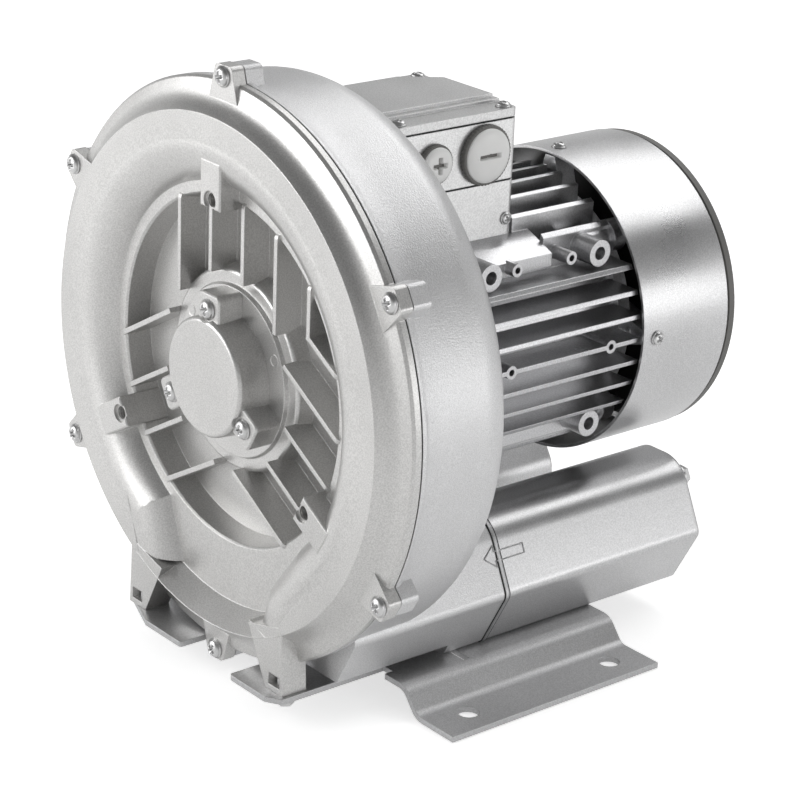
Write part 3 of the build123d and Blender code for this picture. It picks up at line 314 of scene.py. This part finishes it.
class Surface(Nodes):
    """Material with one principled shader."""

    def __init__(self, name):
        self.material = bpy.data.materials.new(name)
        super().__init__(self.material)
        self.output = self.add("ShaderNodeOutputMaterial")
        self.shader = self.add("ShaderNodeBsdfPrincipled")
        self.link(self.shader.outputs["BSDF"], self.output.inputs["Surface"])

    def set_colour(self, colour):
        self.link(colour, self.shader.inputs["Base Color"])

    def set_roughness(self, noise, low, high):
        self.link(self.spread(noise, low, high), self.shader.inputs["Roughness"])

    def set_grain(self, scale, depth, strength, edge):
        """Fine grain over edges that look rounded by a radius."""
        grain = self.noise(scale, detail=2.0)
        rounded = self.add("ShaderNodeBevel", samples=6, Radius=edge)
        bump = self.add("ShaderNodeBump", Strength=strength, Distance=depth)
        self.link(grain, bump.inputs["Height"])
        self.link(rounded.outputs["Normal"], bump.inputs["Normal"])
        self.link(bump.outputs["Normal"], self.shader.inputs["Normal"])


def scaled(colour, factor):
    return tuple(min(1.0, channel * factor) for channel in colour)


def silver_paint(name, colour, metallic, roughness, grain, grain_scale=900.0, edge=0.0006):
    """Aluminium-coloured paint over a casting: soft clouding, fine metal flake and cast grain."""
    paint = Surface(name)
    variation = 0.06
    clouds = paint.noise(scale=14.0, detail=4.0)
    tone = paint.clouded(clouds, scaled(colour, 1 - variation), scaled(colour, 1 + variation))
    flake = paint.noise(scale=grain_scale * 1.6, detail=1.0)
    sparkle = paint.ramp(flake, (0.35, (0.80, 0.80, 0.80)), (0.66, (1.0, 1.0, 1.0)))
    mix = paint.add("ShaderNodeMix", data_type="RGBA", blend_type="MULTIPLY")
    mix.inputs["Factor"].default_value = 1.0
    paint.link(tone, mix.inputs["A"])
    paint.link(sparkle, mix.inputs["B"])
    paint.set_colour(mix.outputs["Result"])
    paint.shader.inputs["Metallic"].default_value = metallic
    paint.set_roughness(clouds, roughness - 0.04, roughness + 0.06)
    paint.set_grain(scale=grain_scale, depth=grain, strength=0.55, edge=edge)
    return paint.material


def plastic(name, colour, roughness, grain=0.00005):
    """Moulded plastic with a faint texture."""
    surface = Surface(name)
    clouds = surface.noise(scale=30.0, detail=3.0)
    surface.set_colour(surface.clouded(clouds, scaled(colour, 0.95), scaled(colour, 1.05)))
    surface.set_roughness(clouds, roughness - 0.05, roughness + 0.05)
    surface.set_grain(scale=1400.0, depth=grain, strength=0.5, edge=0.0005)
    return surface.material


def bare_metal(name, colour, roughness):
    """Plated or ground metal with slight unevenness."""
    metal = Surface(name)
    clouds = metal.noise(scale=160.0, detail=3.0)
    metal.set_colour(metal.clouded(clouds, scaled(colour, 0.88), scaled(colour, 1.08)))
    metal.shader.inputs["Metallic"].default_value = 1.0
    metal.set_roughness(clouds, roughness - 0.06, roughness + 0.08)
    metal.set_grain(scale=2500.0, depth=0.00002, strength=0.5, edge=0.0003)
    return metal.material


def slot_materials():
    """Finish of every material slot, by the slot's name."""
    made = {}
    for finish, slots in ((silver_paint, SILVER_PAINTS), (plastic, PLASTICS), (bare_metal, BARE_METALS)):
        for name, values in slots.items():
            made[name] = finish(name, *values)
    return made


def backdrop_material():
    """Pale floor that glows in the camera and in reflections, and keeps the shadow."""
    paper = Surface("floor_paper")
    clouds = paper.noise(scale=3.0, detail=2.0)
    paper.set_colour(paper.clouded(clouds, (0.86, 0.86, 0.86), (0.88, 0.88, 0.88)))
    paper.shader.inputs["Roughness"].default_value = 0.9
    path = paper.add("ShaderNodeLightPath")
    mirrored = paper.math("MAXIMUM", path.outputs["Is Glossy Ray"], path.outputs["Is Transmission Ray"])
    seen = paper.math("MULTIPLY", path.outputs["Is Camera Ray"], FLOOR_GLOW)
    glow = paper.add("ShaderNodeEmission")
    paper.link(paper.math("MULTIPLY_ADD", mirrored, MIRRORED_GLOW, seen), glow.inputs["Strength"])
    both = paper.add("ShaderNodeAddShader")
    paper.link(paper.shader.outputs["BSDF"], both.inputs[0])
    paper.link(glow.outputs["Emission"], both.inputs[1])
    paper.link(both.outputs["Shader"], paper.output.inputs["Surface"])
    return paper.material


def make_floor():
    """Square floor under the feet."""
    mesh = bpy.data.meshes.new("floor")
    half = FLOOR_HALF_SIZE
    corners = [(-half, -half, 0), (half, -half, 0), (half, half, 0), (-half, half, 0)]
    mesh.from_pydata(corners, [], [(0, 1, 2, 3)])
    floor = bpy.data.objects.new("floor", mesh)
    floor.location.z = FLOOR_Z
    bpy.context.collection.objects.link(floor)
    mesh.materials.append(backdrop_material())


def make_soft_box(name, place, size, power):
    """Rectangular lamp that faces the blower."""
    data = bpy.data.lights.new(name, "AREA")
    data.shape = "RECTANGLE"
    data.size, data.size_y = size
    data.energy = power
    lamp = bpy.data.objects.new(name, data)
    bpy.context.collection.objects.link(lamp)
    lamp.location = place
    lamp.rotation_mode = "QUATERNION"
    lamp.rotation_quaternion = (Vector(LIT_POINT) - Vector(place)).to_track_quat("-Z", "Y")


def make_surround():
    """Pale surround, strongest in the camera, darker upwards in reflections and weak in diffuse light."""
    world = bpy.data.worlds.new("surround")
    bpy.context.scene.world = world
    nodes = Nodes(world)
    direction = nodes.add("ShaderNodeTexCoord")
    split = nodes.add("ShaderNodeSeparateXYZ")
    nodes.link(direction.outputs["Generated"], split.inputs["Vector"])
    height = nodes.ramp(split.outputs["Z"], HORIZON, OVERHEAD)
    path = nodes.add("ShaderNodeLightPath")
    camera_ray = path.outputs["Is Camera Ray"]
    mirrored = nodes.math("MAXIMUM", path.outputs["Is Glossy Ray"], path.outputs["Is Transmission Ray"])
    seen = nodes.math("MAXIMUM", camera_ray, mirrored)
    soft = nodes.add("ShaderNodeBackground", Strength=DIFFUSE_STRENGTH)
    pale = nodes.add("ShaderNodeBackground")
    nodes.link(nodes.math("MAXIMUM", height, camera_ray), pale.inputs["Strength"])
    surround = nodes.add("ShaderNodeMixShader")
    nodes.link(seen, surround.inputs["Fac"])
    nodes.link(soft.outputs["Background"], surround.inputs[1])
    nodes.link(pale.outputs["Background"], surround.inputs[2])
    output = nodes.add("ShaderNodeOutputWorld")
    nodes.link(surround.outputs["Shader"], output.inputs["Surface"])


def make_light():
    """Soft boxes behind on the right, overhead and in front on the left, in a pale surround."""
    for name, place, size, power in SOFT_BOXES:
        make_soft_box(name, place, size, power)
    make_surround()
    bpy.context.scene.view_settings.view_transform = "Standard"


def round_edges(piece, width):
    """Small rounded edges as a casting or a bent sheet has them."""
    weld = piece.modifiers.new("weld", "WELD")
    weld.merge_threshold = WELD_DISTANCE
    planar = piece.modifiers.new("planar", "DECIMATE")
    planar.decimate_type = "DISSOLVE"
    planar.angle_limit = FLAT_ANGLE
    bevel = piece.modifiers.new("rounding", "BEVEL")
    bevel.limit_method = "ANGLE"
    bevel.angle_limit = ROUNDED_ANGLE
    bevel.width = width
    bevel.segments = 2
    normal = piece.modifiers.new("shading", "WEIGHTED_NORMAL")
    normal.weight = 50


def dress_nodes():
    """Every CAD node takes its slot's finish, and those that show get rounded edges."""
    slots = {part["node"]: part["material_slot"] for part in frame["record"]["subparts"]}
    for name, piece in frame["nodes"].items():
        piece.data.materials.clear()
        piece.data.materials.append(materials[slots[name]])
    for name, width in EDGE_WIDTHS.items():
        round_edges(frame["nodes"][name], width)


def add_piece(name, verts, faces, slot_name, smooth=True):
    """New piece of the housing in one of the record's finishes."""
    mesh = bpy.data.meshes.new(name)
    mesh.from_pydata(verts, [], faces)
    mesh.update()
    for polygon in mesh.polygons:
        polygon.use_smooth = smooth
    mesh.materials.append(materials[slot_name])
    piece = bpy.data.objects.new(name, mesh)
    bpy.context.collection.objects.link(piece)
    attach(piece, "housing")
    return piece


def seat_matrix(place, outward, turn=0.0):
    """Frame with its Z axis pointing out of the surface at a place."""
    facing = Vector(outward).to_track_quat("Z", "Y").to_matrix().to_4x4()
    return Matrix.Translation(place) @ facing @ Matrix.Rotation(turn, 4, "Z")


def flat_top(x, y):
    """Top without a recess."""
    return 0.0


def turned_shape(profile, count, sink=flat_top, wave=0.0, waves=0):
    """Vertices and faces of a turned shape, from a profile of radii and heights in millimetres.

    What stands above the seat is sunk by sink(x, y), and its radius may have waves round it.
    """
    verts = []
    for radius, height in profile:
        stands = height > 0
        for step in range(count):
            angle = 2 * pi * step / count
            reach = radius * (1 + wave * cos(waves * angle)) if stands else radius
            x, y = reach * cos(angle), reach * sin(angle)
            z = height - sink(x, y) if stands else height
            verts.append((x * MM, y * MM, z * MM))
    faces = []
    for ring in range(len(profile) - 1):
        low, high = ring * count, (ring + 1) * count
        for step in range(count):
            after = (step + 1) % count
            faces.append((low + step, high + step, high + after, low + after))
    faces.append(tuple(range(count)))
    faces.append(tuple(reversed(range((len(profile) - 1) * count, len(profile) * count))))
    return verts, faces


def gathered(placed_shapes):
    """Vertices and faces of many shapes, each given with the matrix of its seat."""
    verts, faces = [], []
    for matrix, (shape_verts, shape_faces) in placed_shapes:
        start = len(verts)
        verts += [matrix @ Vector(vert) for vert in shape_verts]
        faces += [tuple(start + index for index in face) for face in shape_faces]
    return verts, faces


def clamp(value):
    return max(0.0, min(1.0, value))


def groove(across, along, half_width, half_length, depth):
    """Depth of a slot with slightly sloping sides and ends."""
    side_slope, end_slope = 0.35 * half_width, 0.3
    side = clamp((half_width - abs(across)) / side_slope)
    end = clamp((half_length - abs(along)) / end_slope)
    return depth * side * end


def cross_groove(x, y, half_width, half_length, depth):
    """Depth of two slots that cross."""
    return max(groove(x, y, half_width, half_length, depth), groove(y, x, half_width, half_length, depth))


def screw_profile(head_r, thread_r, length):
    """Domed head on a washer with its shank, from the middle of the top to the end of the thread."""
    head_h = 0.72 * head_r
    dome_base = 0.3
    dome_steps = 12
    profile = [(head_r * 0.02, head_h)]
    for step in range(1, dome_steps + 1):
        angle = pi / 2 * (1 - step / dome_steps)
        profile.append((head_r * cos(angle), head_h * (dome_base + (1 - dome_base) * sin(angle))))
    washer_r, washer_h = head_r * 1.13, 0.8
    profile += [(head_r, washer_h), (washer_r, washer_h - 0.05), (washer_r, 0.01), (thread_r, 0.0)]
    pitch = 0.8
    core_r = thread_r * 0.86
    for turn in range(int(length / pitch)):
        profile.append((thread_r, -pitch * (turn + 0.25)))
        profile.append((core_r, -pitch * (turn + 0.75)))
    return profile


def add_screws(name, node, head_r, thread_r, length, seats):
    """Cross-recess screws with washers, in place of the node of plain ones where there is one."""
    half_width, half_length, depth = 0.17 * head_r, 0.60 * head_r, 0.6 * head_r

    def recess(x, y):
        return cross_groove(x, y, half_width, half_length, depth)

    screw = turned_shape(screw_profile(head_r, thread_r, length), 64, recess)
    first_turn, turn_step = 0.5, 1.3
    placed = []
    for number, (place, outward) in enumerate(seats):
        placed.append((seat_matrix(place, outward, first_turn + turn_step * number), screw))
    piece = add_piece(name, *gathered(placed), "zinc_screws")
    if node:
        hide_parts(node)


def ring_seats(radius, first_angle, count, forward):
    """Seats facing the front, evenly spaced on a circle about the shaft."""
    angles = [first_angle + 360 / count * step for step in range(count)]
    return [(around_axis(radius, angle, forward), FRONT) for angle in angles]


def add_all_screws():
    """Screws of the cover, the hub cap, the terminal box and the cowl."""
    cover = ring_seats(LUG_SCREW_R, 30, 6, LUG_FACE)
    add_screws("cover_pan_screws", "cover_screws", *COVER_SCREW, cover)
    cap = ring_seats(CAP_SCREW_R, 90, 3, CAP_EAR_FACE)
    add_screws("cap_pan_screws", "hub_cap_screws", *CAP_SCREW, cap)
    lid = [(Vector((x, y, LID_TOP_Z)), UP) for x in (-LID_SCREW_X, LID_SCREW_X) for y in LID_SCREW_Y]
    add_screws("lid_pan_screws", "terminal_lid_screws", *LID_SCREW, lid)
    cowl = []
    for angle in (0, 90, 180, 270):
        outward = Vector((cos(radians(angle)), 0, sin(radians(angle))))
        cowl.append((around_axis(COWL_R, angle, COWL_SCREW_FORWARD), outward))
    add_screws("cowl_pan_screws", "cowl_screws", *COWL_SCREW, cowl)


def hex_bolt(thread_r, length):
    """Hexagon head and washered shank of a bolt, as two shapes that stand on the seat."""
    corner_r, washer_r = thread_r * 1.9, thread_r * 2.05
    head = [(corner_r * 0.86, 5.2), (corner_r, 4.6), (corner_r, 1.15)]
    shank = [(washer_r, 1.2), (washer_r, 0.02), (thread_r, 0.0), (thread_r, -length)]
    return turned_shape(head, 6), turned_shape(shank, 48)


def add_hex_bolts(name, node, length, seats):
    """Hexagon bolts on washers in place of a node of plain ones."""
    first_turn, turn_step = 0.3, 0.4
    placed = []
    for number, (place, outward, thread_r) in enumerate(seats):
        matrix = seat_matrix(place, outward, first_turn + turn_step * number)
        placed += [(matrix, shape) for shape in hex_bolt(thread_r, length)]
    piece = add_piece(name, *gathered(placed), "zinc_screws", False)
    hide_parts(node)


def add_all_bolts():
    """Bolts of the feet and of the silencers' rear ends, on both sides."""
    feet, ends = [], []
    for sign in (-1, 1):
        feet += [(Vector((sign * x, y, FOOT_BOLT_Z)), DOWN, thread_r) for x, y, thread_r in FOOT_BOLTS]
        ends += [(Vector((sign * x, SILENCER_END_Y, z)), BACK, SILENCER_BOLT_R) for x, z in SILENCER_BOLTS]
    add_hex_bolts("foot_hex_bolts", "foot_bolts", FOOT_BOLT_LENGTH, feet)
    add_hex_bolts("silencer_hex_bolts", "silencer_bolts", SILENCER_BOLT_LENGTH, ends)


def add_earth_screw():
    """Earth screw on the right side of the terminal box."""
    add_screws("earth_screw", None, *EARTH_SCREW, [(Vector(EARTH_PLACE), RIGHT)])


def add_plug(name, node, radius, y, cut):
    """Domed blanking plug over a knurled rim, with one slot or two crossed ones cut into the dome."""
    half_width, half_length, depth = 1.3, radius * 0.42, 3.4

    def slots(u, v):
        return cut(u, v, half_width, half_length, depth)

    seat = seat_matrix(Vector((BOX_SIDE_X, y, PLUG_Z)), RIGHT, PLUG_TURN)
    rim = [(radius * 0.85, 3.0), (radius * 0.955, 3.0), (radius, 2.4), (radius, 0.4), (radius * 0.98, 0.01)]
    knurl_depth, knurls = 0.012, 48
    rim_shape = turned_shape(rim, 6 * knurls, wave=knurl_depth, waves=knurls)
    add_piece(name + "_rim", *gathered([(seat, rim_shape)]), "grille_polymer")
    top, dome_r, dome_steps = 5.4, radius * 0.9, 24
    dome = [(0.1, top)]
    for step in range(1, dome_steps + 1):
        share = step / dome_steps
        dome.append((dome_r * share, top - 1.5 * share ** 6 - 0.4 * share ** 2))
    shank_r = radius * 0.6
    dome += [(dome_r, 2.5), (shank_r, 0.01), (shank_r, -4.0)]
    dome_shape = turned_shape(dome, 192, slots)
    cap_piece = add_piece(name + "_dome", *gathered([(seat, dome_shape)]), "plug_polymer")
    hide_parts(node)


def add_joint_band(side, label, raise_mm, half_width, slot_name):
    """Band that stands out round the joint of duct and silencer, drawn from the gasket's own outline."""
    gasket = frame["nodes"][side + "_silencer_gasket"]
    verts = [gasket.matrix_world @ vert.co for vert in gasket.data.vertices]
    low = [min(vert[axis] for vert in verts) for axis in range(3)]
    high = [max(vert[axis] for vert in verts) for axis in range(3)]
    middle = [(low[axis] + high[axis]) / 2 for axis in range(3)]
    grow = 1 + raise_mm * MM / ((high[0] - low[0]) / 2)
    deep = half_width * MM / (high[1] - middle[1])
    band = []
    for vert in verts:
        stretched = zip(vert, middle, (grow, deep, grow))
        band.append([centre + (value - centre) * factor for value, centre, factor in stretched])
    faces = [tuple(polygon.vertices) for polygon in gasket.data.polygons]
    add_piece(f"{side}_{label}", band, faces, slot_name, False)


def arrow_outline(tip, tail):
    """Closely spaced points round an arrow, as Y and height about its middle line, in millimetres."""
    neck = tip + (ARROW_HEAD if tail > tip else -ARROW_HEAD)
    upper = [(neck, ARROW_HEAD_HALF), (neck, ARROW_SHAFT_HALF), (tail, ARROW_SHAFT_HALF)]
    lower = [(y, -z) for y, z in reversed(upper)]
    corners = [(tip, 0.0)] + upper + lower
    points, steps = [], 12
    for (y0, z0), (y1, z1) in zip(corners, corners[1:] + corners[:1]):
        for step in range(steps):
            share = step / steps
            points.append((y0 + (y1 - y0) * share, z0 + (z1 - z0) * share))
    return points


def skin_of(node):
    """Surface of a CAD node that rays can be cast at."""
    piece = frame["nodes"][node]
    verts = [piece.matrix_world @ vert.co for vert in piece.data.vertices]
    return BVHTree.FromPolygons(verts, [tuple(polygon.vertices) for polygon in piece.data.polygons])


def add_flow_arrow(side, sign, tip, tail):
    """Raised outline of an arrow on the side of the duct, laid on the castings' surface."""
    skins = [skin_of(node) for node in (side + "_silencer", side + "_silencer_gasket", "rear_casing")]
    inward = Vector((-sign, 0, 0))
    path = []
    for y, z in arrow_outline(tip, tail):
        eye = Vector((sign * ARROW_RAY_START, y * MM, (ARROW_Z + z) * MM))
        found = [hit for hit in (skin.ray_cast(eye, inward)[0] for skin in skins) if hit is not None]
        outermost = max(found, key=lambda point: sign * point.x)
        path.append(outermost + Vector((sign * ARROW_LIFT * MM, 0, 0)))
    verts, faces = [], []
    count = 6
    for index, point in enumerate(path):
        along = (path[(index + 1) % len(path)] - path[index - 1]).normalized()
        side_way = along.cross(Vector((sign, 0, ARROW_SIDE_SLOPE))).normalized()
        out_way = side_way.cross(along)
        for step in range(count):
            angle = 2 * pi * step / count
            verts.append(point + (side_way * cos(angle) + out_way * sin(angle)) * ARROW_LINE_R * MM)
    for ring in range(len(path)):
        low, high = ring * count, (ring + 1) % len(path) * count
        for step in range(count):
            after = (step + 1) % count
            faces.append((low + step, high + step, high + after, low + after))
    add_piece(side + "_flow_arrow", verts, faces, "silencer_casting")


def add_threads(name, slot_name, bore_r, pitch, start, depth, seats):
    """Turns of thread standing in round holes, each seated at its hole's mouth and facing out."""
    count, rows_per_turn, fading_rows = 48, 4, 3
    clearance, height_share = 0.03, 0.28
    rows = int((depth - start) / pitch * rows_per_turn)
    verts, faces = [], []
    for place, outward in seats:
        matrix = seat_matrix(place, outward)
        first = len(verts)
        for row in range(rows + 1):
            z = -start - row * pitch / rows_per_turn
            for step in range(count):
                turn = (row / rows_per_turn + step / count) % 1.0
                crest = 1 - abs(2 * turn - 1)
                radius = bore_r - clearance - height_share * pitch * crest * clamp(row / fading_rows)
                angle = 2 * pi * step / count
                verts.append(matrix @ Vector((radius * cos(angle) * MM, radius * sin(angle) * MM, z * MM)))
        for row in range(rows):
            low, high = first + row * count, first + (row + 1) * count
            for step in range(count):
                after = (step + 1) % count
                faces.append((low + step, low + after, high + after, high + step))
    add_piece(name, verts, faces, slot_name)


def add_all_threads():
    """Threads in the ports, in the cover's stand bosses and in the motor's side bosses."""
    ports = [(Vector((sign * PORT_X, SILENCER_END_Y, PORT_Z)), BACK) for sign in (-1, 1)]
    add_threads("port_threads", "silencer_casting", *PORT_THREAD, ports)
    stand = ring_seats(STAND_BOSS_R, 90, 3, STAND_BOSS_FACE)
    add_threads("stand_boss_threads", "cast_cover", *STAND_THREAD, stand)
    sides = [(local(sign * MOTOR_BOSS_X, up, -behind), (sign, 0, 0))
             for sign in (-1, 1) for up in MOTOR_BOSS_UP for behind in MOTOR_BOSS_BEHIND]
    add_threads("motor_boss_threads", "motor_casting", *MOTOR_THREAD, sides)


def add_cast_marks():
    """Small round ejector marks on the hub disc."""
    ring = [(2.0, 0.02), (2.7, 0.03), (2.9, 0.2), (3.15, 0.2), (3.35, 0.01), (3.35, -1.0)]
    mark = turned_shape(ring, 48)
    placed = [(seat_matrix(local(x, up, HUB_DISC_FACE), FRONT), mark) for x, up in CAST_MARKS]
    add_piece("hub_cast_marks", *gathered(placed), "cast_cover")


def add_duct_joints():
    """Joint bands and flow arrows on both sides, the arrows pointing opposite ways."""
    front, rear = ARROW_FRONT_Y, ARROW_REAR_Y
    for side, sign, tip, tail in (("right", 1, front, rear), ("left", -1, rear, front)):
        add_joint_band(side, "joint_sheet", *SHEET_BAND, "gasket_sheet")
        add_joint_band(side, "joint_rim", *RIM_BAND, "silencer_casting")
        add_flow_arrow(side, sign, tip, tail)


make_camera()
make_floor()
make_light()
materials = slot_materials()
dress_nodes()
add_all_screws()
add_all_bolts()
add_earth_screw()
add_plug("large_plug", "large_blanking_plug", LARGE_PLUG_R, LARGE_PLUG_Y, groove)
add_plug("small_plug", "small_blanking_plug", SMALL_PLUG_R, SMALL_PLUG_Y, cross_groove)
add_cast_marks()
add_all_threads()
add_duct_joints()
